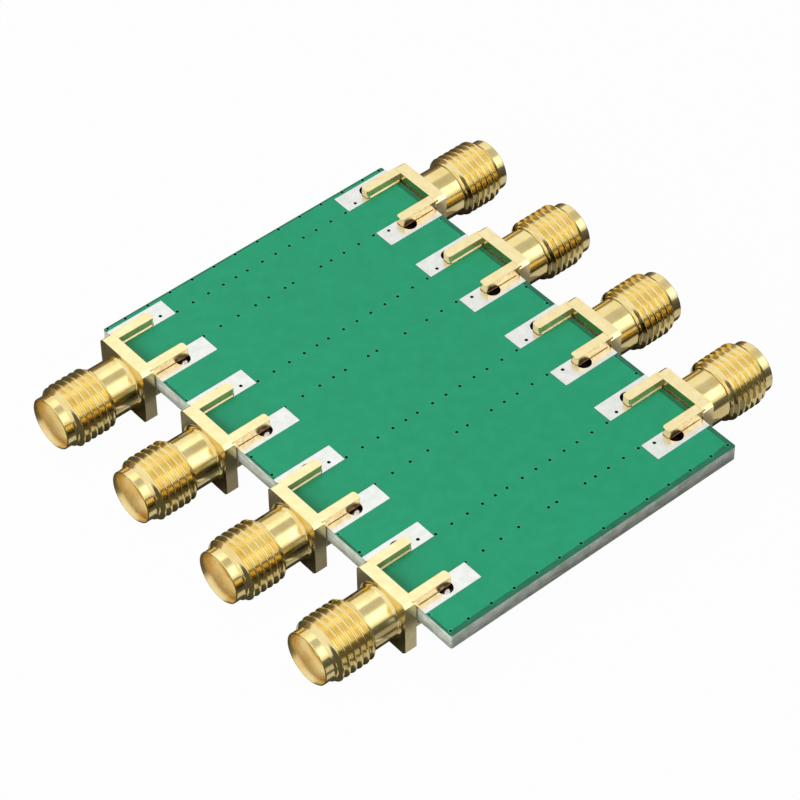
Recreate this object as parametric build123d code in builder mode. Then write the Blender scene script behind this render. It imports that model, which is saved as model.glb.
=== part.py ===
"""Four-channel coaxial attenuator module: a two-sided printed board with an edge-launch jack at both
ends of each channel.

Frame: +X runs along the signal path from the left jacks to the right ones, +Y towards channel 1,
+Z up. The origin is the centre of the footprint, on the surface that the eight flanges stand on.
The component side of the board faces down.
"""

import os

from build123d import *

# Board
board_length = 33.4
board_width = 48.4
board_thickness = 1.6
board_corner_radius = 0.2
channel_y = [19.5, 7.7, -4.7, -16.7]

# Copper of the board: ground lands, signal tracks and shunt pads
copper_thickness = 0.05
land_length = 6.3
land_width = 2.2
land_offset = 3.08
edge_setback = 0.15
track_width = 1.4
shunt_pad_length = 0.9
shunt_pad_width = 0.9

# Jack flange and legs
flange_size = 6.35
flange_thickness = 1.27
flange_corner_chamfer = 0.35
flange_gap = 0.15
leg_width = 1.0
leg_offset = 2.58
leg_length = 4.1
leg_tip_chamfer = 0.25

# Jack barrel, thread and nose, measured along the axis from the flange's front face
barrel_diameter = 5.15
barrel_length = 2.95
thread_diameter = 6.25
thread_length = 4.15
nose_diameter = 5.2
nose_length = 1.15

# Jack inside
bore_diameter = 4.6
bore_depth = 1.9
insulator_diameter = 4.1
contact_diameter = 1.27
contact_recess = 0.05
socket_diameter = 0.94
socket_depth = 2.4
tail_size = 1.02
tail_length = 2.4

# Chip resistors
chip_length = 1.6
chip_width = 0.8
chip_height = 0.45
chip_terminal = 0.3
chip_terminal_step = 0.03
chip_gap = 0.8
series_x = -0.25
shunt_x = [-2.4, 1.95]
shunt_overlap = 0.3

# Solder
leg_solder_foot = 0.6
leg_solder_rise = 0.75
leg_solder_skin = 0.06
tail_solder_foot = 0.35
tail_solder_rise = 0.8
tail_solder_skin = 0.06
chip_solder_foot = 0.3
chip_solder_rise = 0.35

# Levels and stations worked out from the sizes above
axis_z = flange_size / 2
copper_bottom = axis_z + tail_size / 2
board_bottom = copper_bottom + copper_thickness
board_top = board_bottom + board_thickness
upper_leg_bottom = board_top + copper_thickness
leg_height = flange_size - upper_leg_bottom
lower_leg_bottom = copper_bottom - leg_height
flange_front_x = board_length / 2 + flange_gap + flange_thickness
thread_end = barrel_length + thread_length
nose_end = thread_end + nose_length
insulator_front = nose_end - bore_depth
board_edge = -flange_thickness - flange_gap
jack_spots = [
    (side, channel, Location((turn_sign * flange_front_x, y, axis_z), (0, 0, turn)))
    for side, turn_sign, turn in (("left", -1, 180), ("right", 1, 0))
    for channel, y in enumerate(channel_y, start=1)
]


def finish(part, name):
    """Label a finished piece and write it."""
    part.label = name
    export_step(part, f"parts/{name}.step")


def placed(part, *spots):
    """Copies of a part, one at each spot."""
    with BuildPart() as copies:
        with Locations(*spots):
            add(part)
    return copies.part


# The jack pieces are drawn on their own axis: +X out of the nose, x = 0 at the flange's front face
def leg_pair(bottom):
    """Outline of the two legs on one face of the board, with the tip corners taken off."""
    with BuildSketch(Plane.XY.offset(bottom)) as legs:
        with GridLocations(0, 2 * leg_offset, 1, 2):
            with Locations((-flange_thickness - leg_length / 2, 0)):
                Rectangle(leg_length, leg_width)
        chamfer(vertices().group_by(Axis.X)[0], leg_tip_chamfer)
    return legs.sketch


def jack_body():
    """Flange, four legs, barrel, thread at its crest diameter, nose and bore, from one bar."""
    with BuildPart() as body:
        with BuildSketch(Plane.YZ.offset(-flange_thickness)):
            flange = Rectangle(flange_size, flange_size)
            chamfer(flange.vertices(), flange_corner_chamfer)
        extrude(amount=flange_thickness)
        with BuildSketch(Plane.XZ):
            with BuildLine():
                Polyline(
                    (0, 0),
                    (nose_end, 0),
                    (nose_end, nose_diameter / 2),
                    (thread_end, nose_diameter / 2),
                    (thread_end, thread_diameter / 2),
                    (barrel_length, thread_diameter / 2),
                    (barrel_length, barrel_diameter / 2),
                    (0, barrel_diameter / 2),
                    close=True,
                )
            make_face()
        revolve(axis=Axis.X)
        for leg_bottom in (upper_leg_bottom, lower_leg_bottom):
            extrude(leg_pair(leg_bottom - axis_z), amount=leg_height)
        with BuildSketch(Plane.YZ.offset(insulator_front)):
            Circle(bore_diameter / 2)
        extrude(amount=bore_depth, mode=Mode.SUBTRACT)
        with BuildSketch(Plane.YZ.offset(-flange_thickness)):
            Circle(insulator_diameter / 2)
        extrude(amount=flange_thickness + insulator_front, mode=Mode.SUBTRACT)
    return body.part


def jack_insulator():
    """Sleeve that fills the body from the flange's back face to the plug's seat."""
    with BuildPart() as insulator:
        with BuildSketch(Plane.YZ.offset(-flange_thickness)):
            Circle(insulator_diameter / 2)
            Circle(contact_diameter / 2, mode=Mode.SUBTRACT)
        extrude(amount=flange_thickness + insulator_front)
    return insulator.part


def jack_contact():
    """Round stem with a socket in front and a square solder tail behind."""
    contact_front = insulator_front - contact_recess
    with BuildPart() as contact:
        with BuildSketch(Plane.YZ.offset(-flange_thickness)):
            Circle(contact_diameter / 2)
        extrude(amount=flange_thickness + contact_front)
        with BuildSketch(Plane.YZ.offset(-flange_thickness)):
            Rectangle(tail_size, tail_size)
        extrude(amount=-tail_length)
        with BuildSketch(Plane.YZ.offset(contact_front)):
            Circle(socket_diameter / 2)
        extrude(amount=-socket_depth, mode=Mode.SUBTRACT)
    return contact.part


def leg_solder():
    """Pillows of solder on the lower lands, outside the two legs of one jack and at their tips."""
    inner = leg_offset - leg_width / 2
    outer = leg_offset + leg_width / 2 + leg_solder_foot
    length = board_edge + flange_thickness + leg_length + leg_solder_foot
    with BuildPart() as solder:
        with BuildSketch(Plane.XY.offset(copper_bottom - axis_z)):
            with GridLocations(0, inner + outer, 1, 2):
                with Locations((board_edge - length / 2, 0)):
                    Rectangle(length, outer - inner)
        extrude(amount=-leg_solder_rise)
        rims = faces().group_by(Axis.Z)[0].edges()
        chamfer(rims, leg_solder_foot - leg_solder_skin)
        extrude(leg_pair(lower_leg_bottom - axis_z), amount=leg_height, mode=Mode.SUBTRACT)
    return solder.part


def tail_solder():
    """Pillow of solder on the track, round the tail of one jack."""
    start = board_edge - edge_setback
    length = start + flange_thickness + tail_length + tail_solder_foot
    with BuildPart() as solder:
        with BuildSketch(Plane.XY.offset(copper_bottom - axis_z)):
            with Locations((start - length / 2, 0)):
                Rectangle(length, tail_size + 2 * tail_solder_foot)
        extrude(amount=-tail_solder_rise)
        rims = faces().sort_by(Axis.Z)[0].edges()
        chamfer(rims, tail_solder_foot - tail_solder_skin)
        with BuildSketch(Plane.YZ.offset(-flange_thickness)):
            Rectangle(tail_size, tail_size)
        extrude(amount=-tail_length, mode=Mode.SUBTRACT)
    return solder.part


def jacks():
    """Eight jacks of three pieces each, and the solder that holds them."""
    pieces = {"jack_body": jack_body(), "insulator": jack_insulator(), "contact": jack_contact()}
    for side, channel, spot in jack_spots:
        for name, piece in pieces.items():
            finish(placed(piece, spot), f"{side}_{name}_{channel}")
    spots = [spot for _, _, spot in jack_spots]
    finish(placed(leg_solder(), *spots), "leg_solder")
    finish(placed(tail_solder(), *spots), "tail_solder")


def shunt_centre_y(y):
    """Middle of a shunt chip, whose inner terminal lies on the edge of the track at y."""
    return y - track_width / 2 + shunt_overlap - chip_length / 2


def lands(bottom):
    """The sixteen ground lands of one face of the board, a pair at each jack."""
    with BuildSketch(Plane.XY.offset(bottom)) as copper:
        with Locations(*[(0, y) for y in channel_y]):
            with GridLocations(board_length - land_length, 2 * land_offset, 2, 2):
                Rectangle(land_length, land_width)
    return copper.sketch


def signal_copper():
    """Tracks to the middle of each channel, with a gap for the series chip, and the shunt pads."""
    outer_x = board_length / 2 - edge_setback
    left_end = series_x - chip_gap / 2
    right_end = series_x + chip_gap / 2
    with BuildSketch(Plane.XY.offset(copper_bottom)) as copper:
        for y in channel_y:
            with Locations(((left_end - outer_x) / 2, y)):
                Rectangle(left_end + outer_x, track_width)
            with Locations(((right_end + outer_x) / 2, y)):
                Rectangle(outer_x - right_end, track_width)
        for y in channel_y[1:]:
            pad_top = shunt_centre_y(y) - chip_length / 2 + chip_terminal
            with Locations(*[(x, pad_top - shunt_pad_length / 2) for x in shunt_x]):
                Rectangle(shunt_pad_width, shunt_pad_length)
    return copper.sketch


def circuit_board():
    """Laminate and copper, made as one piece."""
    with BuildPart() as board:
        with BuildSketch(Plane.XY.offset(board_bottom)):
            RectangleRounded(board_length, board_width, board_corner_radius)
        extrude(amount=board_thickness)
        for bottom in (board_top, copper_bottom):
            extrude(lands(bottom), amount=copper_thickness)
        extrude(signal_copper(), amount=copper_thickness)
    finish(board.part, "circuit_board")


# The chips are drawn along X, hanging from z = 0
def chip():
    """A thin body between two full-height terminals."""
    with BuildPart() as resistor:
        with BuildSketch(Plane.XY.offset(-chip_height)):
            with GridLocations(chip_length - chip_terminal, 0, 2, 1):
                Rectangle(chip_terminal, chip_width)
        extrude(amount=chip_height)
        with BuildSketch(Plane.XY.offset(chip_terminal_step - chip_height)):
            Rectangle(chip_length - chip_terminal, chip_width - 2 * chip_terminal_step)
        extrude(amount=chip_height - 2 * chip_terminal_step)
    return resistor.part


def chip_solder():
    """A wedge of solder against each end of a chip."""
    end = chip_length / 2
    with BuildPart() as solder:
        with BuildSketch(Plane.XZ):
            for side in (-1, 1):
                with BuildLine():
                    Polyline(
                        (side * end, 0),
                        (side * (end + chip_solder_foot), 0),
                        (side * end, -chip_solder_rise),
                        close=True,
                    )
                make_face()
        extrude(amount=chip_width / 2, both=True)
    return solder.part


def chips():
    """A zero ohm link in channel 1 and a pi network of three chips in each of the others."""
    spots = {"link_resistor_1": Location((series_x, channel_y[0], copper_bottom))}
    for channel, y in enumerate(channel_y[1:], start=2):
        spots[f"series_resistor_{channel}"] = Location((series_x, y, copper_bottom))
        for letter, x in zip("ab", shunt_x):
            spot = Location((x, shunt_centre_y(y), copper_bottom), (0, 0, 90))
            spots[f"shunt_resistor_{channel}{letter}"] = spot
    resistor = chip()
    for name, spot in spots.items():
        finish(placed(resistor, spot), name)
    finish(placed(chip_solder(), *spots.values()), "resistor_solder")


os.makedirs("parts", exist_ok=True)
circuit_board()
chips()
jacks()
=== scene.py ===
import math

import bmesh
import bpy
import numpy as np
from mathutils import Matrix, Vector


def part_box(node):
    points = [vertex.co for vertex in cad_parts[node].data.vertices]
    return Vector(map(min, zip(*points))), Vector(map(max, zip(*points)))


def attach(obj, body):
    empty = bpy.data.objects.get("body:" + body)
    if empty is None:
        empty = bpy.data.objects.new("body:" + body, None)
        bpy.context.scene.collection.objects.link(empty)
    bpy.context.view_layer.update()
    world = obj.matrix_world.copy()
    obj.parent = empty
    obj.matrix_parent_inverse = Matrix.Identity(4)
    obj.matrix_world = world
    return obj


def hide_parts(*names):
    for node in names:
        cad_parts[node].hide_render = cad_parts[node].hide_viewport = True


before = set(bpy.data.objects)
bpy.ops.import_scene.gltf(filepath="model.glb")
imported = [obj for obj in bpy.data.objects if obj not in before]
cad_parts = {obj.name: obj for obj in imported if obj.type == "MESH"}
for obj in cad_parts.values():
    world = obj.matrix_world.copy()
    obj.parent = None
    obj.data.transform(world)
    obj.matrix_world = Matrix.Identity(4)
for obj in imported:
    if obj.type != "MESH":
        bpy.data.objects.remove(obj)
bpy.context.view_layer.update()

# The bare board: glass-epoxy laminate 1.6 mm thick, pressed from woven glass plies, drilled, then
# routed to size, so the four edges show the grey ends of the plies. Everything else sits on it.
mm = 0.001
copper_thickness = 0.05
board_low, board_high = (np.array(corner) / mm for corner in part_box("circuit_board"))
board_bottom = board_low[2] + copper_thickness
board_top = board_high[2] - copper_thickness
half_length, half_width = board_high[0], board_high[1]
board_corner = 0.2
channel_y = [19.5, 7.7, -4.7, -16.7]
jacks = [(side, channel, y) for side in (-1, 1) for channel, y in enumerate(channel_y, start=1)]

# Drilled holes: one large hole through each land, and vias of 0.3 mm in rows along the channels,
# round the board's edge and in three lands of each channel
land_hole_x, land_hole_offset, land_hole_radius, land_hole_sides = 13.55, 3.08, 0.725, 32
land_holes = [
    (side * land_hole_x, y + way * land_hole_offset) for side, _, y in jacks for way in (-1, 1)
]
via_row_offset, via_radius, via_sides = 2.045, 0.15, 14
far_row_x = [-10.15, -8.3, -6.5, -4.75, -3.25, -1.9, -0.1, 1.5, 3.15, 4.85, 6.4, 8.2, 10.0]
near_row_x = [
    [-10.3, -8.3, -6.25, -4.2, -2.65, -0.7, 0.25, 3.6, 4.85, 6.4, 8.2, 10.0],
    [-10.35, -8.3, -6.3, -4.7, -3.3, -0.6, 0.4, 3.8, 6.4, 8.2, 10.0],
    [-10.35, -8.3, -6.25, -4.2, -0.8, 0.45, 3.3, 4.85, 6.4, 8.2, 10.0],
    [-10.35, -8.3, -6.25, -4.2, -0.7, 0.25, 3.6, 4.85, 6.4, 8.2, 10.0],
]
edge_row_x = [-16.3, -14.3, -11.7, -9.1, -6.5, -3.9, -1.4, 1.25, 3.8, 6.4, 9.0, 11.6, 14.15, 16.2]
side_row_y = [15.0, 12.1, 2.9, 0.05, -9.15, -11.9, -21.15]
plane_left, plane_right, plane_near, plane_far = -16.45, 16.2, -23.66, 23.98
edge_vias = [(x, y) for y in (plane_near, plane_far) for x in edge_row_x] + [
    (x, y) for x in (plane_left, plane_right) for y in side_row_y
]
inner_vias = [(x, y + via_row_offset) for y in channel_y for x in far_row_x] + [
    (x, y - via_row_offset) for y, row in zip(channel_y, near_row_x) for x in row
]
vias = inner_vias + edge_vias
land_vias = [
    spot for y in channel_y for spot in ((-11.7, y + 2.6), (11.55, y + 2.45), (11.5, y - 2.5))
]
wall_thickness = 0.025
corner_points = 7


def ring(centre, radius, sides):
    """Corner points of a circle: the centre plus the radius times the cosine and sine of even
    steps of angle."""
    angle = np.arange(sides) * 2 * math.pi / sides
    return np.array(centre) + radius * np.column_stack([np.cos(angle), np.sin(angle)])


def rounded_rectangle(centre, half_x, half_y, radius):
    """Outline of a rectangle with quarter-circle corners: each corner's own centre plus the radius
    times the cosine and sine of angles through a quarter turn."""
    corners = []
    for quarter, (right, up) in enumerate(((1, 1), (-1, 1), (-1, -1), (1, -1))):
        angle = (quarter + np.linspace(0, 1, corner_points)) * math.pi / 2
        middle = np.array(centre) + [right * (half_x - radius), up * (half_y - radius)]
        corners.append(middle + radius * np.column_stack([np.cos(angle), np.sin(angle)]))
    return np.vstack(corners)


def closed(mesh):
    """Merges the doubled points of a shell and turns all its faces outwards."""
    work = bmesh.new()
    work.from_mesh(mesh)
    bmesh.ops.remove_doubles(work, verts=work.verts, dist=0.0002 * mm)
    bmesh.ops.recalc_face_normals(work, faces=work.faces)
    work.to_mesh(mesh)
    work.free()
    return mesh


def plate(name, outline, holes, low, high):
    """A flat plate: the area inside the outline less the holes, carried straight up from the low
    level to the high one."""
    curve = bpy.data.curves.new(name, "CURVE")
    curve.dimensions = "2D"
    curve.fill_mode = "BOTH"
    curve.extrude = (high - low) / 2 * mm
    for loop in [outline, *holes]:
        spline = curve.splines.new("POLY")
        spline.points.add(len(loop) - 1)
        flat = np.column_stack([loop * mm, np.zeros(len(loop)), np.ones(len(loop))])
        spline.points.foreach_set("co", flat.ravel())
        spline.use_cyclic_u = True
    drawn = bpy.data.objects.new(name, curve)
    mesh = bpy.data.meshes.new_from_object(drawn)
    mesh.transform(Matrix.Translation((0, 0, (low + high) / 2 * mm)))
    bpy.data.objects.remove(drawn)
    bpy.data.curves.remove(curve)
    return closed(mesh)


def colour(text):
    """An sRGB hex colour as linear red, green, blue and alpha."""
    part = np.array([int(text[i : i + 2], 16) / 255 for i in (0, 2, 4)])
    linear = np.where(part <= 0.04045, part / 12.92, ((part + 0.055) / 1.055) ** 2.4)
    return (*linear.tolist(), 1.0)


def node(owner, kind, sockets=None, stops=(), **settings):
    """Adds one node. The settings are its own. A socket, by name or number, gets a plain value or
    a link, from another node's first output or from the output given. A ramp's stops are pairs of
    a place and a hex colour."""
    made = owner.node_tree.nodes.new(kind)
    for name, value in settings.items():
        setattr(made, name, value)
    for name, value in (sockets or {}).items():
        if isinstance(value, bpy.types.Node):
            value = value.outputs[0]
        if isinstance(value, bpy.types.NodeSocket):
            owner.node_tree.links.new(value, made.inputs[name])
        else:
            made.inputs[name].default_value = value
    for number, (place, text) in enumerate(stops):
        made.color_ramp.elements[number].position = place
        made.color_ramp.elements[number].color = colour(text)
    return made


def material(name):
    """A material with an empty tree of nodes. Each noise in it has a scale of 1000 over the size of
    its grain in millimetres."""
    made = bpy.data.materials.new(name)
    made.use_nodes = True
    made.node_tree.nodes.clear()
    return made


def in_scene(name, data):
    """An object of that name that holds the data, in the scene."""
    made = bpy.data.objects.new(name, data)
    bpy.context.scene.collection.objects.link(made)
    return made


def fitted(name, mesh, finishes, slot, *nodes):
    """One finished piece of the object: it rides on the part, takes the finishes given and stands
    for the named solids. The slot is not used."""
    for finish in finishes:
        mesh.materials.append(finish)
    mesh.name = name
    made = in_scene(name, mesh)
    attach(made, "root")
    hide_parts(*nodes)


# Glass-epoxy laminate, routed: the cut ends of the glass plies, about eight in the thickness, make
# fine level streaks of white glass in grey-green resin, dull and a little rough
ply_pitch, streak_length, blotch_size = 0.2, 2.5, 1000 / 900
laminate = material("routed_glass_epoxy")
board_place = node(laminate, "ShaderNodeTexCoord").outputs["Object"]
streak_scale = (1000 / streak_length, 1000 / streak_length, 1000 / ply_pitch)
stretched = node(laminate, "ShaderNodeMapping", {"Vector": board_place, "Scale": streak_scale})
plies = node(laminate, "ShaderNodeTexNoise", {"Vector": stretched, "Scale": 1.0, "Detail": 3.0})
blotch = {"Vector": board_place, "Scale": 1000 / blotch_size, "Detail": 2.0}
blotches = node(laminate, "ShaderNodeTexNoise", blotch)
both = node(laminate, "ShaderNodeMath", {0: plies, 1: blotches}, operation="ADD")
halved = node(laminate, "ShaderNodeMath", {0: both, 1: 0.5}, operation="MULTIPLY")
glass_greys = ((0.38, "8E988B"), (0.62, "C0C4BA"))
cut_glass = node(laminate, "ShaderNodeValToRGB", {0: halved}, stops=glass_greys)
relief = {"Height": plies, "Strength": 0.4, "Distance": 0.03 * mm}
cut_bump = node(laminate, "ShaderNodeBump", relief)
dull = {"Base Color": cut_glass, "Roughness": 0.55, "Normal": cut_bump}
laminate_shader = node(laminate, "ShaderNodeBsdfPrincipled", dull)
node(laminate, "ShaderNodeOutputMaterial", {"Surface": laminate_shader})

board_outline = rounded_rectangle((0, 0), half_length, half_width, board_corner)
drilled = [ring(spot, land_hole_radius + wall_thickness, land_hole_sides) for spot in land_holes]
drilled += [ring(spot, via_radius + wall_thickness, via_sides) for spot in vias + land_vias]
slab = plate("laminate", board_outline, drilled, board_bottom, board_top)
fitted("laminate", slab, [laminate], "solder_mask", "circuit_board")

# The solder mask: green epoxy ink on both faces, cured glossy. It lies over bare laminate in a
# narrow border, where it looks darker, and inside that over the copper ground plane.
mask_thickness, plane_height, plane_corner_cut = 0.015, 0.04, 0.25
land_length, land_width, land_offset, opening_clearance = 6.3, 2.2, 3.08, 0.035


def clouded(name, size, detail, stops, surface, strength=0, depth=0, wave=None):
    """A finish whose colour drifts between its stops in clouds of that size in millimetres. With a
    depth given, the same clouds, or waves of a length of their own, raise and lower its surface."""
    made = material(name)
    where = node(made, "ShaderNodeTexCoord").outputs["Object"]
    noise = {"Vector": where, "Scale": 1000 / size, "Detail": detail}
    clouds = node(made, "ShaderNodeTexNoise", noise)
    surface = {"Base Color": node(made, "ShaderNodeValToRGB", {0: clouds}, stops=stops), **surface}
    if wave:
        noise = {"Vector": where, "Scale": 1000 / wave, "Detail": 2.0}
        clouds = node(made, "ShaderNodeTexNoise", noise)
    if depth:
        relief = {"Height": clouds, "Strength": strength, "Distance": depth * mm}
        surface["Normal"] = node(made, "ShaderNodeBump", relief)
    shader = node(made, "ShaderNodeBsdfPrincipled", surface)
    node(made, "ShaderNodeOutputMaterial", {"Surface": shader})
    return made


def solder_mask(name, dark, pale, grain):
    """Green epoxy ink, screened on and cured: clear and glossy over what it covers, with slow waves
    in its surface and a faint mottle of the grain's size from the copper below."""
    glossy = {"Roughness": 0.2, "Specular IOR Level": 0.25}
    return clouded(name, grain, 4.0, ((0.3, dark), (0.7, pale)), glossy, 0.15, 0.02, wave=2.5)


mask_on_laminate = solder_mask("solder_mask_on_laminate", "106A4B", "1B7A5A", 1.2)
mask_on_copper = solder_mask("solder_mask_on_copper", "0C9C6C", "12A374", 1.2)
# Paler green round each via: partly the mask's own lip round the pit, partly a painted highlight on
# it
mask_on_rim_painted_highlight = solder_mask("via_rim_mask_painted_highlight", "37A981", "47B58E", 0.3)


def notched(start, end, spots):
    """A straight run of the outline that goes round the inner half of every hole whose centre lies
    near it: half a circle of points about each centre, in the order of the run."""
    end_margin, reach, half_circle = 0.4, 0.1, np.linspace(math.pi, 0, 9)
    start = np.array(start)
    length = np.hypot(*(end - start))
    ahead = (end - start) / length
    inwards = np.array([-ahead[1], ahead[0]])
    along, aside = (np.array(spots) - start) @ ahead, (np.array(spots) - start) @ inwards
    met = (along > end_margin) & (along < length - end_margin) & (np.abs(aside) < reach)
    centres = np.array(spots)[met][np.argsort(along[met])]
    arms = np.outer(np.cos(half_circle), ahead) + np.outer(np.sin(half_circle), inwards)
    notches = centres[:, None] + (via_radius + wall_thickness) * arms
    return [start, *notches.reshape(-1, 2)]


def ground_plane_outline():
    """Outline of the ground plane, counter-clockwise: a rectangle with its corners taken off,
    stepped inwards round each land and notched at the vias on its edges."""
    left, right = plane_left + plane_corner_cut, plane_right - plane_corner_cut
    near, far = plane_near + plane_corner_cut, plane_far - plane_corner_cut
    half = land_width / 2 + opening_clearance
    outline = notched((left, plane_near), (right, plane_near), edge_vias)
    for x, way, at, end in ((plane_right, 1, near, far), (plane_left, -1, far, near)):
        inner = way * (half_length - land_length - opening_clearance)
        land_y = [y + step * land_offset for y in channel_y for step in (-1, 1)]
        for y in sorted(land_y, reverse=way < 0):
            outline += notched((x, at), (x, y - way * half), edge_vias)
            outline += [(x, y - way * half), (inner, y - way * half), (inner, y + way * half)]
            at = y + way * half
        outline += [*notched((x, at), (x, end), edge_vias), (x, end)]
        if way > 0:
            outline += notched((right, plane_far), (left, plane_far), edge_vias)
            outline.append((left, plane_far))
    return np.array([np.array(point) for point in outline])


for face, level, way in (("top", board_top, 1), ("bottom", board_bottom, -1)):
    low, high = sorted((level, level + way * mask_thickness))
    border = plate("border", board_outline, drilled, low, high)
    fitted(f"{face}_mask_border", border, [mask_on_laminate], "solder_mask", "circuit_board")

# The top face carries nothing but the ground plane
via_openings = [ring(spot, via_radius + wall_thickness, via_sides) for spot in inner_vias]
plane_outline = ground_plane_outline()
top_plane = plate("plane", plane_outline, via_openings, board_top, board_top + plane_height)
fitted("top_ground_plane", top_plane, [mask_on_copper], "solder_mask", "circuit_board")

# The lands: copper rectangles dipped in molten tin and blown level, sixteen on each face, bright
# and nearly mirror-smooth, each with its holes.
etched_corner = 0.05


def finely_levelled(name, dark, pale, roughness):
    """Bright tin: nearly neutral and a little clouded, with slow waves where the air knife blew it
    level."""
    surface = {"Metallic": 1.0, "Roughness": roughness}
    return clouded(name, 0.9, 3.0, ((0.35, dark), (0.65, pale)), surface, 0.2, 0.01)


tin = finely_levelled("levelled_tin", "DFE0DA", "E9EAE5", 0.25)


def joined(name, meshes):
    """One mesh that holds all the others."""
    work = bmesh.new()
    for mesh in meshes:
        work.from_mesh(mesh)
        bpy.data.meshes.remove(mesh)
    whole = bpy.data.meshes.new(name)
    work.to_mesh(whole)
    work.free()
    return whole


def lands(low, high):
    """The sixteen lands of one face as one mesh, each open where holes were drilled in it."""
    half = np.array([land_length, land_width]) / 2
    drills = ((land_holes, land_hole_radius, land_hole_sides), (land_vias, via_radius, via_sides))
    made = []
    for side, _, y in jacks:
        for way in (-1, 1):
            centre = (side * (half_length - half[0]), y + way * land_offset)
            holes = [
                ring(spot, radius + wall_thickness, sides)
                for spots, radius, sides in drills
                for spot in spots
                if np.all(np.abs(np.subtract(spot, centre)) < half)
            ]
            outline = rounded_rectangle(centre, *half, etched_corner)
            made.append(plate("land", outline, holes, low, high))
    return joined("lands", made)


fitted("top_lands", lands(board_top, board_high[2]), [tin], "solder", "circuit_board")
fitted("bottom_lands", lands(board_low[2], board_bottom), [tin], "solder", "circuit_board")

# The large holes: copper walls tinned in the same bath, which join the lands of the two faces.
# Solder from the lower legs has run up into them. The walls are painted dark brown as shade deep in
# the holes.
wall_gap, land_wall_recess = 0.002, 0.01


def skin(name, grid, across=True):
    """A surface through grids of points, the last three axes of the array being rows, columns and
    x, y, z: each face joins a point to its neighbours in the next row and column. The last column
    joins the first, and so does the last row where the surface closes across."""
    rows, columns = grid.shape[-3:-1]
    index = np.arange(grid.size // 3).reshape(-1, rows, columns)
    row, column = np.arange(rows if across else rows - 1), np.arange(columns)
    next_row, next_column = (row + 1) % rows, (column + 1) % columns
    corners = [
        index[:, row[:, None], column],
        index[:, next_row[:, None], column],
        index[:, next_row[:, None], next_column],
        index[:, row[:, None], next_column],
    ]
    faces = np.stack(corners, axis=-1).reshape(-1, 4)
    mesh = bpy.data.meshes.new(name)
    mesh.from_pydata((grid.reshape(-1, 3) * mm).tolist(), [], faces.tolist())
    return closed(mesh)


def carried_round(name, spots, radius, level, sides, across=True):
    """A profile of radii and levels, carried round an upright axis through each spot: x and y are
    the spot's, plus the radius times the cosine and sine of even steps of angle."""
    angle = np.arange(sides) * 2 * math.pi / sides
    radius, level = np.array(radius)[:, None], np.array(level)[:, None] + 0 * angle
    turned = np.stack([radius * np.cos(angle), radius * np.sin(angle), level], axis=-1)
    move = np.column_stack([np.array(spots), np.zeros(len(spots))])
    return skin(name, turned + move[:, None, None], across)


def hole_walls(spots, inner, outer, low, high, sides):
    """Plated walls of drilled holes: tubes whose section is a thin rectangle."""
    radius, level = [inner, outer, outer, inner], [low, low, high, high]
    return carried_round("walls", spots, radius, level, sides)


# Dark brown tin on the hole walls: painted shade inside the holes
hole_wall_painted_shade = finely_levelled("tin_in_hole_painted_shade", "5E4C3C", "8E7F6C", 0.38)
land_walls = hole_walls(
    land_holes,
    land_hole_radius,
    land_hole_radius + wall_thickness - wall_gap,
    board_low[2] + land_wall_recess,
    board_high[2] - land_wall_recess,
    land_hole_sides,
)
land_walls.shade_smooth()
land_walls.set_sharp_from_angle(angle=math.radians(40))
fitted("land_hole_walls", land_walls, [hole_wall_painted_shade], "solder", "circuit_board")


def domes(spots, depth):
    """Solder in large holes: its top stands at the depth below the board's face in the middle, and
    lower by the fall times the square of the share of the way to the wall. A disc closes it."""
    wall_clearance, fall, underside = 0.004, 0.3, 0.3
    share = np.array([0.0, 0.2, 0.4, 0.6, 0.75, 0.88, 0.96, 1.0, 1.0, 0.0])
    level = board_top - depth - fall * share**2
    level[-2:] = board_bottom + underside
    reach = share * (land_hole_radius - wall_clearance)
    return carried_round("domes", spots, reach, level, land_hole_sides, across=False)


def flux(name, dark, pale):
    """Glossy, uneven varnish between the two browns: rosin flux left after soldering, and painted
    shade in the large holes.
    """
    return clouded(name, 0.3, 3.0, ((0.35, dark), (0.65, pale)), {"Roughness": 0.3})


# A dome is bright bare tin on its side towards the near right, past the place given, where it
# catches the light, and painted dark brown on the rest as shade in the hole. The holes on the left
# are fuller than those on the right.
painted_shade_in_hole = flux("painted_shade_in_hole", "20140C", "44301F")
near_right = [0.6, -0.8]
filled = []
for side, depth, lit_from in ((-1, 0.16, 0.08), (1, 0.5, 0.42)):
    spots = np.array([spot for spot in land_holes if side * spot[0] > 0])
    dome = domes(spots, depth)
    centres = np.empty(len(dome.polygons) * 3)
    dome.polygons.foreach_get("center", centres)
    offset = centres.reshape(-1, 1, 3)[:, :, :2] / mm - spots
    own_hole = np.argmin(np.hypot(offset[..., 0], offset[..., 1]), axis=1)
    # Faces on the side away from the near right get the dark brown painted shade
    in_painted_shade = offset[np.arange(len(offset)), own_hole] @ near_right < lit_from
    dome.polygons.foreach_set("material_index", in_painted_shade.astype(np.int32))
    filled.append(dome)
hole_solder = joined("hole_solder", filled)
hole_solder.shade_smooth()
fitted("land_hole_solder", hole_solder, [tin, painted_shade_in_hole], "solder", "circuit_board")

# The vias: drilled 0.3 mm, plated with copper and covered by the mask. Each is a pit whose wall is
# painted dark green as shade, with a narrow pale rim of mask that carries a painted highlight.
via_recess, rim_start, rim_end = 0.004, 0.01, 0.065
via_wall_painted_shade = material("mask_in_via_painted_shade")
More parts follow.
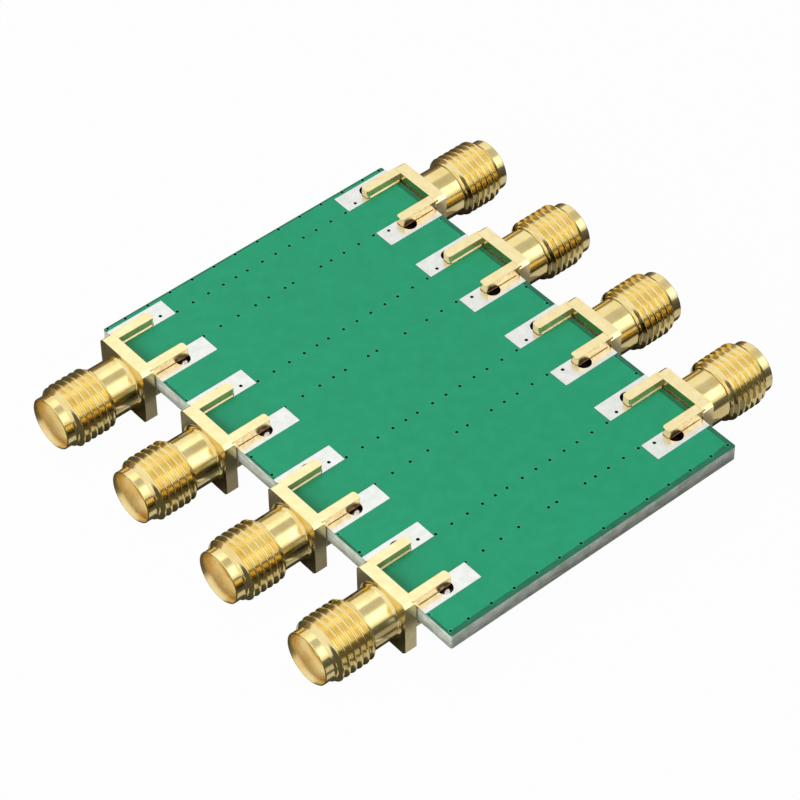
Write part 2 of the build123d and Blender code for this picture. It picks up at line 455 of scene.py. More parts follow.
# Dark green on the via walls: painted shade deep in the pits
pit_painted_shade = {"Base Color": colour("0B4A35"), "Roughness": 0.6, "Specular IOR Level": 0.2}
via_shader = node(via_wall_painted_shade, "ShaderNodeBsdfPrincipled", pit_painted_shade)
node(via_wall_painted_shade, "ShaderNodeOutputMaterial", {"Surface": via_shader})
via_outer = via_radius + wall_thickness - wall_gap
low, high = board_bottom - plane_height + via_recess, board_top + plane_height - via_recess
walls = hole_walls(vias, via_radius, via_outer, low, high, via_sides)
fitted("via_walls", walls, [via_wall_painted_shade], "solder_mask", "circuit_board")
for face, level, way in (("top", board_top, 1), ("bottom", board_bottom, -1)):
    low, high = sorted((level, level + way * (plane_height + via_recess)))
    # The rims carry the paler green with its painted highlight
    rims = hole_walls(vias, via_radius + rim_start, via_radius + rim_end, low, high, via_sides)
    fitted(f"{face}_via_rims", rims, [mask_on_rim_painted_highlight], "solder_mask", "circuit_board")
low, high = board_low[2] + land_wall_recess, board_high[2] - land_wall_recess
walls = hole_walls(land_vias, via_radius, via_outer, low, high, via_sides)
fitted("land_via_walls", walls, [via_wall_painted_shade], "solder_mask", "circuit_board")

# Component side, underneath: the ground plane is open along each channel for a straight signal
# track, under the mask except where the jack tails and the chips are soldered to it.
track_half, track_gap, track_end = 0.7, 0.6, half_length - 0.15
chip_length, terminal = 1.6, 0.3
series_x, shunt_x, chip_gap, shunt_overlap, shunt_pad = -0.25, [-2.4, 1.95], 0.8, 0.3, 0.9
shunt_centre = -track_half + shunt_overlap - chip_length / 2
pad_centre = shunt_centre - chip_length / 2 + terminal - shunt_pad / 2
slot_end_margin, slot_corner, window_clearance, pad_corner = 0.6, 0.1, 0.05, 0.04
bare_at_jack, bare_at_chip, mask_overlap = 3.6, 3.0, 0.03
track_low, track_mask_low = board_low[2] + 0.012, board_low[2] + 0.002

channel_slots = [
    rounded_rectangle((0, y), half_length - slot_end_margin, track_half + track_gap, slot_corner)
    for y in channel_y
]
window_half = shunt_pad / 2 + window_clearance
shunt_windows = [
    rounded_rectangle((x, y + pad_centre), window_half, window_half, etched_corner)
    for y in channel_y[1:]
    for x in shunt_x
]
bottom_openings = via_openings + channel_slots + shunt_windows
low = board_bottom - plane_height
bottom_plane = plate("plane", plane_outline, bottom_openings, low, board_bottom)
fitted("bottom_ground_plane", bottom_plane, [mask_on_copper], "solder_mask", "circuit_board")

tracks, masked = [], []
for y in channel_y:
    for left, right, bare_left, bare_right in (
        (-track_end, series_x - chip_gap / 2, bare_at_jack, bare_at_chip),
        (series_x + chip_gap / 2, track_end, bare_at_chip, bare_at_jack),
    ):
        middle, half = ((left + right) / 2, y), (right - left) / 2
        outline = rounded_rectangle(middle, half, track_half, etched_corner)
        tracks.append(plate("track", outline, [], track_low, board_bottom))
        left, right = left + bare_left, right - bare_right
        middle, half = ((left + right) / 2, y), (right - left) / 2
        outline = rounded_rectangle(middle, half, track_half + mask_overlap, etched_corner)
        masked.append(plate("mask", outline, [], track_mask_low, board_bottom))
for y in channel_y[1:]:
    for x in shunt_x:
        outline = rounded_rectangle((x, y + pad_centre), shunt_pad / 2, shunt_pad / 2, pad_corner)
        tracks.append(plate("pad", outline, [], board_low[2], board_bottom))
fitted("tracks_and_pads", joined("tracks", tracks), [tin], "solder", "circuit_board")
fitted("track_mask", joined("masked", masked), [mask_on_copper], "solder_mask", "circuit_board")

# The jacks: brass bar, milled to a square flange with four legs behind and turned to a barrel with
# a 1/4-36 thread and a bored nose in front, then plated with thin bright gold over nickel.
flange_half, flange_thickness, flange_chamfer, flange_gap = 3.175, 1.27, 0.35, 0.15
leg_width, leg_offset, leg_length, leg_height = 1.0, 2.58, 4.1, 0.965
leg_tip_radius, leg_step, leg_root = 0.3, 0.06, 0.3
barrel_radius, root_fillet = 2.575, 0.35
thread_radius, thread_depth, thread_pitch = 3.12, 0.42, 0.7056
thread_start, thread_end = 2.85, 7.1
nose_radius, nose_end, nose_chamfer = 2.6, 8.25, 0.07
bore_radius, bore_depth, sleeve_radius = 2.3, 1.9, 2.05
axis_z = flange_half
flange_front = half_length + flange_gap + flange_thickness


def plating(
    name, bright, warm, roughness, mark_pitch, mark_strength=0.12, tint_size=1.5, bare=1.0
):
    """Thin bright gold: a pale yellow mirror, a little warmer where it is thicker, over the marks
    of the tool. They run across the part's length, at a pitch several times the real one so that
    they show. Bare is the share that no haze of flux dulls."""
    made = material(name)
    where = node(made, "ShaderNodeTexCoord").outputs["Object"]
    run_on = 60
    clouds = {"Vector": where, "Scale": 1000 / tint_size, "Detail": 3.0}
    tint = node(made, "ShaderNodeTexNoise", clouds)
    stretch = {"Vector": where, "Scale": (1000 / mark_pitch, run_on, run_on)}
    lines = node(made, "ShaderNodeMapping", stretch)
    marks = node(made, "ShaderNodeTexNoise", {"Vector": lines, "Scale": 1.0, "Detail": 2.0})
    thickness = node(made, "ShaderNodeValToRGB", {0: tint}, stops=((0.35, warm), (0.65, bright)))
    relief = {"Height": marks, "Strength": mark_strength, "Distance": 0.01 * mm}
    surface = {"Base Color": thickness, "Metallic": bare, "Roughness": roughness}
    surface["Normal"] = node(made, "ShaderNodeBump", relief)
    shader = node(made, "ShaderNodeBsdfPrincipled", surface)
    node(made, "ShaderNodeOutputMaterial", {"Surface": shader})
    return made


# The same gold on the turned outside, in the duller bore, on the finely milled flange, on the legs'
# outward sides, where flux left a brown film, and on their inward sides, which its haze dulls
gold = plating("gold_over_nickel_on_brass", "F6E3A4", "EFD68F", 0.17, 0.12)
bore_gold = plating("gold_in_bored_nose", "F6E2A4", "F0CE88", 0.36, 0.12)
milled_gold = plating("gold_on_milled_faces", "F8E8B4", "F3DFA6", 0.22, 0.1, 0.16, 0.8)
filmed_gold = plating("gold_under_flux_film", "F6E2AE", "E0BE84", 0.3, 0.1, 0.16, 0.35)
hazed_gold = plating("gold_under_flux_haze", "EEDCA6", "E2CA90", 0.32, 0.1, 0.16, 0.8, 0.68)
body_finishes = [gold, bore_gold, milled_gold, filmed_gold, hazed_gold]


def shaped(mesh, steps):
    """The mesh after a list of modifiers, each a kind and its settings."""
    made = in_scene(mesh.name, mesh)
    for kind, settings in steps:
        modifier = made.modifiers.new(kind.lower(), kind)
        for name, value in settings.items():
            setattr(modifier, name, value)
    depsgraph = bpy.context.evaluated_depsgraph_get()
    result = bpy.data.meshes.new_from_object(made.evaluated_get(depsgraph))
    bpy.data.objects.remove(made)
    return result


def milled_end():
    """Flange and four legs: an eight-sided plate with a round hole, drawn in the plane across the
    axis, joined with the two pairs of legs, whose tips are rounded in plan."""
    bevel_width, side_margin = 0.09, 0.03
    reach = flange_half - flange_chamfer
    corners = np.array([(flange_half, reach), (reach, flange_half)])
    octagon = np.vstack(
        [corners, corners[::-1] * [-1, 1], corners * [-1, -1], corners[::-1] * [1, -1]]
    )
    flange = plate("flange", octagon, [ring((0, 0), sleeve_radius, 64)], 0, flange_thickness)
    # Plate x and y become the flange's -z and y, and its thickness runs from the front face to -x
    flange.transform(Matrix(((0, 0, -1, 0), (0, 1, 0, 0), (1, 0, 0, 0), (0, 0, 0, 1))))
    legs = []
    root_x = leg_root - flange_thickness
    half = (leg_length + leg_root) / 2
    upper, lower = flange_half - leg_height, board_low[2] - leg_height - axis_z + leg_step
    for level in (upper, lower):
        for middle in (-leg_offset, leg_offset):
            spot = (root_x - half, middle)
            rounded = rounded_rectangle(spot, half, leg_width / 2, leg_tip_radius)
            tip = rounded[corner_points : 3 * corner_points]
            root = [(root_x, middle + leg_width / 2), (root_x, middle - leg_width / 2)]
            outline = np.vstack([root[0], tip, root[1]])
            leg = plate("leg", outline, [], level, level + leg_height - leg_step)
            legs.append(in_scene("leg", leg))
    steps = [("BOOLEAN", {"operation": "UNION", "solver": "EXACT", "object": leg}) for leg in legs]
    edges = {"limit_method": "ANGLE", "angle_limit": math.radians(35)}
    bevel = {"width": bevel_width * mm, "segments": 2, **edges}
    result = shaped(flange, [*steps, ("BEVEL", bevel)])
    for leg in legs:
        bpy.data.objects.remove(leg)
    result.shade_smooth()
    result.set_sharp_from_angle(angle=math.radians(10))
    centres = np.empty(len(result.polygons) * 3)
    result.polygons.foreach_get("center", centres)
    x, y, _ = centres.reshape(-1, 3).T / mm
    outward = (np.abs(y) > leg_offset + leg_width / 2 - side_margin) & (x < -flange_thickness)
    inward = np.abs(y) < leg_offset - leg_width / 2 + side_margin
    inward &= x < -flange_thickness - 0.01
    finish = np.full(len(x), body_finishes.index(milled_gold), dtype=np.int32)
    finish[inward] = body_finishes.index(hazed_gold)
    finish[outward] = body_finishes.index(filmed_gold)
    result.polygons.foreach_set("material_index", finish)
    return result


def turned_end():
    """Barrel, thread, nose and bore as one ring-shaped shell. The profile runs along the outside
    and back through the bore, and is carried round the axis. On the thread the radius is the crest
    less the depth times a round-topped wave of the distance along the axis less the pitch times the
    turn, kept under the two end chamfers and over the barrel and the nose. The wave is a triangle
    with rounded corners: the inverse sine of a little less than a sine."""
    sides, rows_per_pitch, sharpness = 96, 18, 0.94
    sunk, start_height, run_out, chamfer_slope = 0.4, 0.12, 0.25, 0.95
    narrower = sleeve_radius - bore_radius
    fillet_angle = np.linspace(0, 1, 8) * math.pi / 2
    root_x = root_fillet * (1 - np.cos(fillet_angle))
    root_r = barrel_radius + root_fillet * (1 - np.sin(fillet_angle))
    body_x = np.linspace(root_fillet + 0.1, thread_start - 0.05, 6)
    last_x = thread_end + run_out + 0.01
    thread_x = np.arange(thread_start, last_x, thread_pitch / rows_per_pitch)
    nose_x = [thread_end + 0.3, thread_end + 0.33, nose_end - 0.1, nose_end - nose_chamfer]
    nose_x.append(nose_end)
    nose_r = [nose_radius, nose_radius, nose_radius, nose_radius, nose_radius - nose_chamfer]
    plain = np.full(len(body_x) + len(thread_x), barrel_radius)
    outside_x = np.concatenate([[-sunk], root_x, body_x, thread_x, nose_x])
    outside_r = np.concatenate([[root_r[0]], root_r, plain, nose_r])
    # The bore has a wide mouth, a seat at its floor and a narrower way back to the flange
    inwards = [0, 0.05, 0.55, 0.65, bore_depth - 0.03, bore_depth, bore_depth, nose_end + sunk]
    inside_x = nose_end - np.array(inwards)
    inside_r = bore_radius + np.array([0.21, 0.16, 0.02, 0, 0, 0, narrower, narrower])
    turn = np.arange(sides) * 2 * math.pi / sides
    along = np.concatenate([outside_x, inside_x])[:, None] + 0 * turn
    radius = np.concatenate([outside_r, inside_r])[:, None] + 0 * turn
    phase = along / thread_pitch - turn / (2 * math.pi)
    from_crest = np.abs(2 * (phase % 1) - 1)
    wave = np.arcsin(sharpness * np.sin(math.pi * (from_crest - 0.5))) / math.asin(sharpness)
    groove = thread_radius - thread_depth * (wave + 1) / 2
    start_chamfer = barrel_radius + start_height + (along - thread_start) * chamfer_slope
    end_chamfer = nose_radius + (thread_end + run_out - along) * chamfer_slope
    limit = np.minimum(start_chamfer, end_chamfer)
    first = 1 + len(root_x) + len(body_x)
    rows = slice(first, first + len(thread_x))
    floor = np.where(along < (thread_start + thread_end) / 2, barrel_radius, nose_radius)
    radius[rows] = np.maximum(floor, np.minimum(groove, limit))[rows]
    grid = np.stack([along, radius * np.cos(turn), radius * np.sin(turn)], axis=-1)
    mesh = skin("turned", grid)
    bored = np.arange(len(mesh.polygons)) // sides > len(outside_x)
    mesh.polygons.foreach_set("material_index", bored.astype(np.int32))
    mesh.shade_smooth()
    mesh.set_sharp_from_angle(angle=math.radians(62))
    return mesh


# Each is drawn once, with x = 0 at the flange's front face and z = 0 on the axis
def at_jack(mesh, side, y):
    """A copy of a mesh drawn on the jack's own axis, moved to one jack. Left jacks are turned half
    a turn about the upright axis."""
    copy = mesh.copy()
    spot = Vector((side * flange_front, y, axis_z)) * mm
    copy.transform(Matrix.Translation(spot) @ Matrix.Rotation(0 if side > 0 else math.pi, 4, "Z"))
    return copy


body_mesh = joined("jack_body", [milled_end(), turned_end()])
side_name = {-1: "left", 1: "right"}
for side, channel, y in jacks:
    name = f"{side_name[side]}_jack_body_{channel}"
    body = at_jack(body_mesh, side, y)
    fitted(f"{name}_plated", body, body_finishes, "gold_plated_brass", name)

# The foot of each upper leg: a thin amber line of flux all round it, and on its inward side a bead
# of solder that has crept up the leg, painted yellow as the reflection of the gold leg in it.
leg_tip = flange_front - flange_thickness - leg_length
flux_spread, flux_height = 0.03, 0.05
amber_flux = flux("amber_flux", "6B431C", "B98A4E")
# Yellow on the bead: painted reflection of the gold leg
solder_painted_gold_reflection = finely_levelled("solder_with_painted_gold_reflection", "EFDC9E", "F8EABA", 0.3)
# Distances from the leg and heights over the land of the bead's four corners, and of its middle
bead_section = np.array([(0, 0.02), (0.1, 0.02), (0.1, 0.06), (0, 0.19)])
bead_middle = np.array([(0.03, 0.1)] * 4)
bead_end = half_length - 0.02
lines, beads = [], []
for side, _, y in jacks:
    for way in (-1, 1):
        middle = (side * (leg_tip + half_length) / 2, y + way * leg_offset)
        half = (half_length - leg_tip) / 2 + flux_spread
        half_y, corner = leg_width / 2 + flux_spread, leg_tip_radius + flux_spread
        foot = rounded_rectangle(middle, half, half_y, corner)
        lines.append(plate("flux", foot, [], board_high[2], board_high[2] + flux_height))
        inward_side = y + way * (leg_offset - leg_width / 2)
        sections = np.array([bead_middle, bead_section, bead_section, bead_middle])
        stations = side * np.repeat([leg_tip + leg_tip_radius, bead_end], 2)[:, None]
        across, up = inward_side - way * sections[..., 0], board_high[2] + sections[..., 1]
        bead = np.stack([stations + 0 * across, across, up], axis=-1)
        beads.append(skin("bead", bead, across=False))
fitted("flux_lines", joined("flux", lines), [amber_flux], "solder", "circuit_board")
fitted("leg_foot_solder", joined("beads", beads), [solder_painted_gold_reflection], "solder", "circuit_board")

# The insulators: sleeves turned from white fluoropolymer rod and pressed in, waxy and a little
# translucent. Their solids have the right shape and only get the material.
waxy = {"Roughness": 0.42, "Subsurface Weight": 0.2, "Subsurface Scale": 0.3 * mm}
whites = ((0.3, "E4E2DA"), (0.7, "F0EFEA"))
fluoropolymer = clouded("turned_fluoropolymer", 0.6, 2.0, whites, waxy)
for side, channel, _ in jacks:
    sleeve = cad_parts[f"{side_name[side]}_insulator_{channel}"]
    for number in range(len(sleeve.data.materials)):
        sleeve.data.materials[number] = fluoropolymer

# The contacts: beryllium copper, turned, with a socket slit into four fingers in front and a square
# tail behind, plated with a heavier and yellower gold than the bodies.
contact_gold = plating("gold_on_beryllium_copper", "F4D27C", "EBC368", 0.18, 0.08)
stem_radius, socket_radius, socket_depth, contact_front = 0.635, 0.47, 2.4, 6.3
tail_half, tail_length, slit_half, slit_depth = 0.51, 2.4, 0.09, 1.9


def contact():
    """A stem turned from a profile with its socket, slit twice across, with a square tail. Each
    radius is carried round the axis, down to a core too thin to see."""
    sides, rim, lead_in, nose_taper, drill_point, core = 40, 0.06, 0.1, 0.15, 0.2, 0.001
    floor = contact_front - socket_depth
    profile = np.array(
        [
            (-flange_thickness, stem_radius),
            (contact_front - nose_taper, stem_radius),
            (contact_front, stem_radius - rim),
            (contact_front, socket_radius + rim),
            (contact_front - lead_in, socket_radius),
            (floor, socket_radius),
            (floor - drill_point, core),
            (-flange_thickness, core),
        ]
    )
    turn = np.arange(sides) * 2 * math.pi / sides
    along, radius = profile[:, :1] + 0 * turn, profile[:, 1:]
    stem = skin("stem", np.stack([along, radius * np.cos(turn), radius * np.sin(turn)], axis=-1))
    past_stem, past_front, slit_corner = 1.0, 0.1, 0.02
    half_slit = (slit_depth + past_front) / 2
    middle = contact_front + past_front - half_slit
    slits = []
    for half_y, half_z in ((slit_half, past_stem), (past_stem, slit_half)):
        outline = rounded_rectangle((middle, 0), half_slit, half_y, slit_corner)
        slits.append(in_scene("slit", plate("slit", outline, [], -half_z, half_z)))
    cut = {"operation": "DIFFERENCE", "solver": "EXACT"}
    cut_stem = shaped(stem, [("BOOLEAN", {**cut, "object": slit}) for slit in slits])
    for slit in slits:
        bpy.data.objects.remove(slit)
    overlap, tail_corner = 0.01, 0.08
    behind = (overlap - flange_thickness - tail_length / 2, 0)
    outline = rounded_rectangle(behind, tail_length / 2 + overlap, tail_half, tail_corner)
    return joined("contact", [cut_stem, plate("tail", outline, [], -tail_half, tail_half)])


contact_mesh = contact()
contact_mesh.shade_smooth()
contact_mesh.set_sharp_from_angle(angle=math.radians(35))
for side, channel, y in jacks:
    name = f"{side_name[side]}_contact_{channel}"
    pin = at_jack(contact_mesh, side, y)
    fitted(f"{name}_plated", pin, [contact_gold], "gold_plated_contact", name)

# Solder: tin alloy melted round the lower legs and the tails, which it wets, so that it climbs them
# in a hollow curve and thins out to the edge of the land. It set bright, with a light frost.
solder_greys = ((0.3, "B9BBB8"), (0.7, "D6D8D4"))
bright = {"Metallic": 1.0, "Roughness": 0.27}
solder = clouded("solder_joint", 0.35, 3.0, solder_greys, bright, 0.35, 0.02)


def fillet(start, end, low_y, high_y, core, rise, spread):
    """Solder on a flat land, below it: over a grid in plan, its height is the rise at the core's
    outline and falls away with the distance from it as a hollow quarter circle of the spread's
    radius, thinned to nothing at the land's edge. The core is (end x, low y, high y)."""
    rim_height, rim_slope = 0.02, 2.5
    u, v = np.meshgrid(np.linspace(0, 1, 44), np.linspace(0, 1, 22), indexing="ij")
    x = start + (end - start) * u
    y = low_y + (high_y - low_y) * v
    away_x = np.maximum(0, (core[0] - x) * np.sign(start - end))
    away_y = np.maximum(0, np.maximum(core[1] - y, y - core[2]))
    away = np.clip(np.hypot(away_x, away_y) / spread, 0, 1)
    curve = 1 - np.sqrt(1 - (1 - away) ** 2)
    from_edge = np.minimum(np.minimum(v, 1 - v) * (high_y - low_y), (1 - u) * abs(end - start))
    height = rim_height + (rise - rim_height) * curve
    height = np.minimum(height, rim_height + rim_slope * from_edge)
    level = board_low[2] - axis_z
    top = np.stack([x, y, level + 0 * x], axis=-1)
    under = np.stack([x, y, level - height], axis=-1)
    return np.concatenate([top, under[:, ::-1]], axis=1)


def leg_joints():
    """The joints of the two lower legs of one jack, on the jack's own axis."""
    foot, rise, inner_foot = 0.6, 0.75, 0.05
    start, tip = -flange_thickness - 0.2, -flange_thickness - leg_length
    inner, outer = leg_offset - leg_width / 2, leg_offset + leg_width / 2
    made = []
    for way in (-1, 1):
        core = sorted((way * inner, way * outer))
        span = sorted((way * (inner - inner_foot), way * (outer + foot)))
        made.append(fillet(start, tip - foot, *span, (tip, *core), rise, foot))
    return np.array(made)


def tail_joint():
    """The joint of one tail, on the jack's own axis."""
    foot, rise = 0.35, 0.8
    start, tip = -flange_thickness - 0.35, -flange_thickness - tail_length
    half = tail_half + foot
    return fillet(start, tip - foot, -half, half, (tip, -tail_half, tail_half), rise, foot)[None]


def capped(grids):
    """Closed shells from grids whose columns run round the section, with a face over each end."""
    meshes = []
    for grid in grids:
        mesh = skin("joint", grid, across=False)
        work = bmesh.new()
        work.from_mesh(mesh)
        bmesh.ops.holes_fill(work, edges=work.edges)
        work.to_mesh(mesh)
        work.free()
        meshes.append(closed(mesh))
    whole = joined("joints", meshes)
    whole.shade_smooth()
    whole.set_sharp_from_angle(angle=math.radians(50))
    return whole


for joint, name in ((capped(leg_joints()), "leg_solder"), (capped(tail_joint()), "tail_solder")):
    copies = joined("copies", [at_jack(joint, side, y) for side, _, y in jacks])
    fitted(f"{name}_joints", copies, [solder], "solder", name)

# The chips: thick-film resistors, a white ceramic body under black glaze between two tinned
# terminals, and a wedge of solder at each end.
chip_width, chip_height, glaze_recess, terminal_corner = 0.8, 0.45, 0.03, 0.04
blacks = ((0.3, "191A1C"), (0.7, "26272A"))
glaze = clouded("chip_glaze", 0.15, 2.0, blacks, {"Roughness": 0.3})
chip_spots = [(series_x, channel_y[0], 0, "link_resistor_1")]
for channel, y in enumerate(channel_y[1:], start=2):
    chip_spots.append((series_x, y, 0, f"series_resistor_{channel}"))
    for letter, x in zip("ab", shunt_x):
        chip_spots.append((x, y + shunt_centre, math.pi / 2, f"shunt_resistor_{channel}{letter}"))


def block(centre, half_x, half_y, radius, low, high):
    """A block with rounded upright corners and softened rims."""
    rim_width = 0.03
    solid = plate("block", rounded_rectangle(centre, half_x, half_y, radius), [], low, high)
    edges = {"limit_method": "ANGLE", "angle_limit": math.radians(40)}
    return shaped(solid, [("BEVEL", {"width": rim_width * mm, "segments": 2, **edges})])


def chip_ends():
    """The two terminals of a chip, hanging from z = 0."""
    reach, half_y = (chip_length - terminal) / 2, chip_width / 2
    made = [
        block((way * reach, 0), terminal / 2, half_y, terminal_corner, -chip_height, 0)
        for way in (-1, 1)
    ]
    return joined("ends", made)


def chip_wedges():
    """Solder at a chip's ends: the height falls from the rise to nothing as a hollow curve of the
    distance from the end."""
    rise, foot, rim_height, side_margin = 0.35, 0.3, 0.01, 0.02
    away = np.linspace(0, 1, 8)
    height = rise * (1 - np.sqrt(1 - (1 - away) ** 2)) + rim_height
    wide = np.linspace(-1, 1, 6)[:, None] * (chip_width / 2 - side_margin)
    made = []
    for way in (-1, 1):
        x = way * (chip_length / 2 + foot * away)
        x, level = np.concatenate([x, x[::-1]]), np.concatenate([-height, 0 * height])
        made.append(np.stack([x + 0 * wide, wide + 0 * x, level + 0 * wide], axis=-1))
    return capped(made)


def chip_body():
    """The glazed body, which fills a chip between the middles of its terminals."""
    half_x, half_y, corner = (chip_length - terminal) / 2, chip_width / 2 - glaze_recess, 0.02
    return block((0, 0), half_x, half_y, corner, glaze_recess - chip_height, -glaze_recess)


glazed, ends, wedges = chip_body(), chip_ends(), chip_wedges()
all_wedges = []
for x, y, turn_angle, name in chip_spots:
    spot = Matrix.Translation(Vector((x, y, board_low[2])) * mm)
    spot = spot @ Matrix.Rotation(turn_angle, 4, "Z")
    copies = [mesh.copy() for mesh in (glazed, ends, wedges)]
    for copy in copies:
        copy.transform(spot)
    fitted(f"{name}_glazed_body", copies[0], [glaze], "chip_ceramic", name)
    fitted(f"{name}_terminals", copies[1], [tin], "chip_ceramic", name)
    all_wedges.append(copies[2])
wedge_mesh = joined("wedges", all_wedges)
fitted("resistor_solder_joints", wedge_mesh, [solder], "solder", "resistor_solder")

# The studio: a wide floor of white paper in a white surround, a large soft light overhead, a strong
# one at the left and a weak one in front at the right. To the camera the floor is all but white. To
# mirrors it is a darker grey, painted shade that darkens the floor's reflection in the gold.
reach, floor_drop, camera_share = 1.5, 0.02, 0.975
floor_mesh = bpy.data.meshes.new("floor")
floor_corners = [(-reach, -reach, 0), (reach, -reach, 0), (reach, reach, 0), (-reach, reach, 0)]
floor_mesh.from_pydata(floor_corners, [], [(0, 1, 2, 3)])
floor_mesh.transform(Matrix.Translation((0, 0, -floor_drop * mm)))
in_scene("floor", floor_mesh)
paper = material("white_paper")
ray = node(paper, "ShaderNodeLightPath").outputs
share = {0: ray["Is Camera Ray"], 1: camera_share}
seen = node(paper, "ShaderNodeMath", share, operation="MULTIPLY")
matt = node(paper, "ShaderNodeBsdfDiffuse", {"Color": colour("C4C4C1")})
# Darker grey seen only by mirrors: painted shade on the floor's reflection
floor_shade_for_mirrors = node(paper, "ShaderNodeBsdfDiffuse", {"Color": colour("5A5A54")})
lit = node(paper, "ShaderNodeMixShader", {0: ray["Is Glossy Ray"], 1: matt, 2: floor_shade_for_mirrors})
white = node(paper, "ShaderNodeEmission", {"Color": colour("FFFFFF"), "Strength": 1.0})
mixed = node(paper, "ShaderNodeMixShader", {0: seen, 1: lit, 2: white})
node(paper, "ShaderNodeOutputMaterial", {"Surface": mixed})
floor_mesh.materials.append(paper)

# The camera, mirrors and clear things see a plain white surround, and all else gets its soft light
world = bpy.data.worlds.new("surround")
bpy.context.scene.world = world
world.use_nodes = True
world.node_tree.nodes.clear()
ray = node(world, "ShaderNodeLightPath").outputs
shown = ray["Is Camera Ray"]
for kind in ("Is Glossy Ray", "Is Transmission Ray"):
    pair = {0: shown, 1: ray[kind]}
    shown = node(world, "ShaderNodeMath", pair, operation="ADD", use_clamp=True).outputs[0]
soft = node(world, "ShaderNodeBackground", {"Color": colour("FFFFFF"), "Strength": 0.39})
plain = node(world, "ShaderNodeBackground", {"Color": colour("FFFFFF"), "Strength": 1.0})
sky = node(world, "ShaderNodeMixShader", {0: shown, 1: soft, 2: plain})
node(world, "ShaderNodeOutputWorld", {"Surface": sky})


def towards(azimuth, elevation, distance):
    """A point in that direction from the object."""
    turn, lift = math.radians(azimuth), math.radians(elevation)
    flat = distance * math.cos(lift)
    return (flat * math.cos(turn), flat * math.sin(turn), distance * math.sin(lift))


def softbox(name, azimuth, elevation, distance, width, height, level):
    """A soft light that faces the object from that direction, hidden from mirrors. Its power is the
    level, which is how bright its face looks beside white, times pi times its area."""
    way = Vector(towards(azimuth, elevation, 1))
    lamp = bpy.data.lights.new(name, "AREA")
    lamp.shape = "RECTANGLE"
    lamp.size, lamp.size_y = width, height
    lamp.energy = level * math.pi * width * height
    made = in_scene(name, lamp)
    made.location = way * distance
    made.rotation_euler = way.to_track_quat("Z", "Y").to_euler()
    made.visible_glossy = False


softbox("overhead_light", 60, 63, 0.8, 0.45, 0.45, 1.0)
softbox("left_light", 180, 28, 0.8, 0.6, 0.6, 5.8)
softbox("front_right_light", -50, 40, 0.8, 0.32, 0.45, 0.2)

# Glowing cards that only mirrors see, staged round the object and on the floor beside the jacks:
# painted reflections. They stand in for the room, and give the gold its pale and dark bands. The
# cards on the floor are painted light and painted shadow of the floor as the gold mirrors it.
wall_distance, wall_height, card_lift, high_card_distance = 250, 85, 0.02, 520


def reflected_cards(name, level, quads, tint="FFFFFF"):
    """Cards of one brightness beside white, each from its four corners."""
    finish = material(f"{name}_finish")
    glow = node(finish, "ShaderNodeEmission", {"Color": colour(tint), "Strength": level})
    node(finish, "ShaderNodeOutputMaterial", {"Surface": glow})
    mesh = bpy.data.meshes.new(name)
    points = [Vector(corner) * mm for quad in quads for corner in quad]
    mesh.from_pydata(points, [], [range(4 * i, 4 * i + 4) for i in range(len(quads))])
    mesh.materials.append(finish)
    made = in_scene(name, mesh)
    made.visible_camera = made.visible_diffuse = made.visible_shadow = False
    made.visible_transmission = False


def on_floor(low_x, high_x, low_y, high_y):
    """Corners of a card that lies on the floor."""
    corners = ((low_x, low_y), (high_x, low_y), (high_x, high_y), (low_x, high_y))
    return [(x, y, card_lift) for x, y in corners]


def high_card(*corners):
    """Corners of a card in the air, each given by its azimuth and its elevation."""
    return [towards(*corner, high_card_distance) for corner in corners]


def wall(start, end):
    """Corners of an upright card between two corners of the surround, each a pair of signs."""
    (a, b), (c, d) = np.array([start, end]) * wall_distance
    return [(a, b, 0), (c, d, 0), (c, d, wall_height), (a, b, wall_height)]


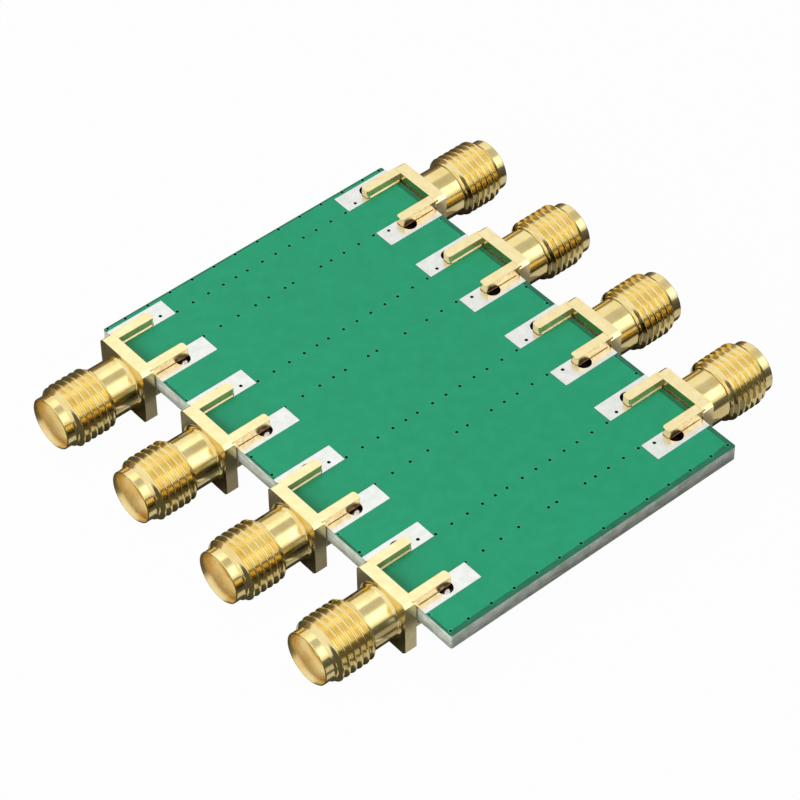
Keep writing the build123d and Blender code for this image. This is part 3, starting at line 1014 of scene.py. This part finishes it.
dark_walls = [wall((-1, -1), (1, -1)), wall((1, -1), (1, 1))]
overhead = high_card((69, 37.5), (34, 56.5), (40, 82), (100, 62))
front_right = high_card((-33, 27), (-33, 56), (-72, 56), (-66, 25))
right_above = high_card((33, 50), (33, 72), (-38, 70), (-36, 48))
reflected_cards("dark_surround", 0.12, dark_walls)
reflected_cards("brown_surround", 0.42, [wall((1, 1), (-1, 1))], "D8B48C")
reflected_cards("overhead_card", 1.4, [overhead], "FAFDFF")
reflected_cards("front_right_card", 1.9, [front_right])
reflected_cards("grey_card", 0.58, [right_above])
# Floor cards: painted pools of light and painted shadows on the floor, seen only in the gold
pale = [on_floor(-26.4, -22.3, y - 5.6, y - 3.3) for y in channel_y]
pale += [on_floor(-20.6, -18.14, y - 3.9, y - 3.3) for y in channel_y]
pale += [on_floor(21.5, 30, y - 8.5, y - 3.3) for y in channel_y]
pale += [on_floor(-28, -19, -36, -24.4), on_floor(21.5, 34, -34, -25.4)]
dim = [on_floor(-18, -13.5, channel_y[3] - 5.4, channel_y[3] - 3.3)]
dim += [on_floor(-20.6, -18.14, y - 5.4, y - 3.9) for y in channel_y]
dim += [on_floor(-19, -8, -36, -24.4), on_floor(10, 21.5, -34, -25.4)]
shaded = [on_floor(-18, -13.5, y - 5.4, y - 3.3) for y in channel_y[:3]]
shaded += [on_floor(17, 21.5, y - 8.5, y - 3.3) for y in channel_y]
slivers = [on_floor(-18.65, -18.14, y - 8, y - 5.4) for y in channel_y]
reflected_cards("painted_lit_floor_patches", 0.62, pale)
reflected_cards("painted_dim_floor_patches", 0.4, dim)
reflected_cards("painted_floor_shadow_patches", 0.2, shaded)
reflected_cards("painted_bright_floor_slivers", 1.0, slivers)

# The camera looks down on the near left corner from a long way off, as the photograph does. Its
# place, its aim and its lens were fitted on corners and circles measured there.
camera_place = Vector((-139.669, -164.348, 228.624)) * mm
forward = Vector((0.44501, 0.52998, -0.72186)).normalized()
right = Vector((0.75965, -0.65027, -0.00911))
right = (right - forward * right.dot(forward)).normalized()
aim = Matrix((right, right.cross(forward), -forward)).transposed().to_4x4()
camera_data = bpy.data.cameras.new("camera")
camera_data.lens = 155.42
camera_data.sensor_width = 36.0
camera_data.clip_start = 0.01
camera = in_scene("camera", camera_data)
camera.matrix_world = Matrix.Translation(camera_place) @ aim
bpy.context.scene.camera = camera
bpy.context.scene.view_settings.view_transform = "Standard"
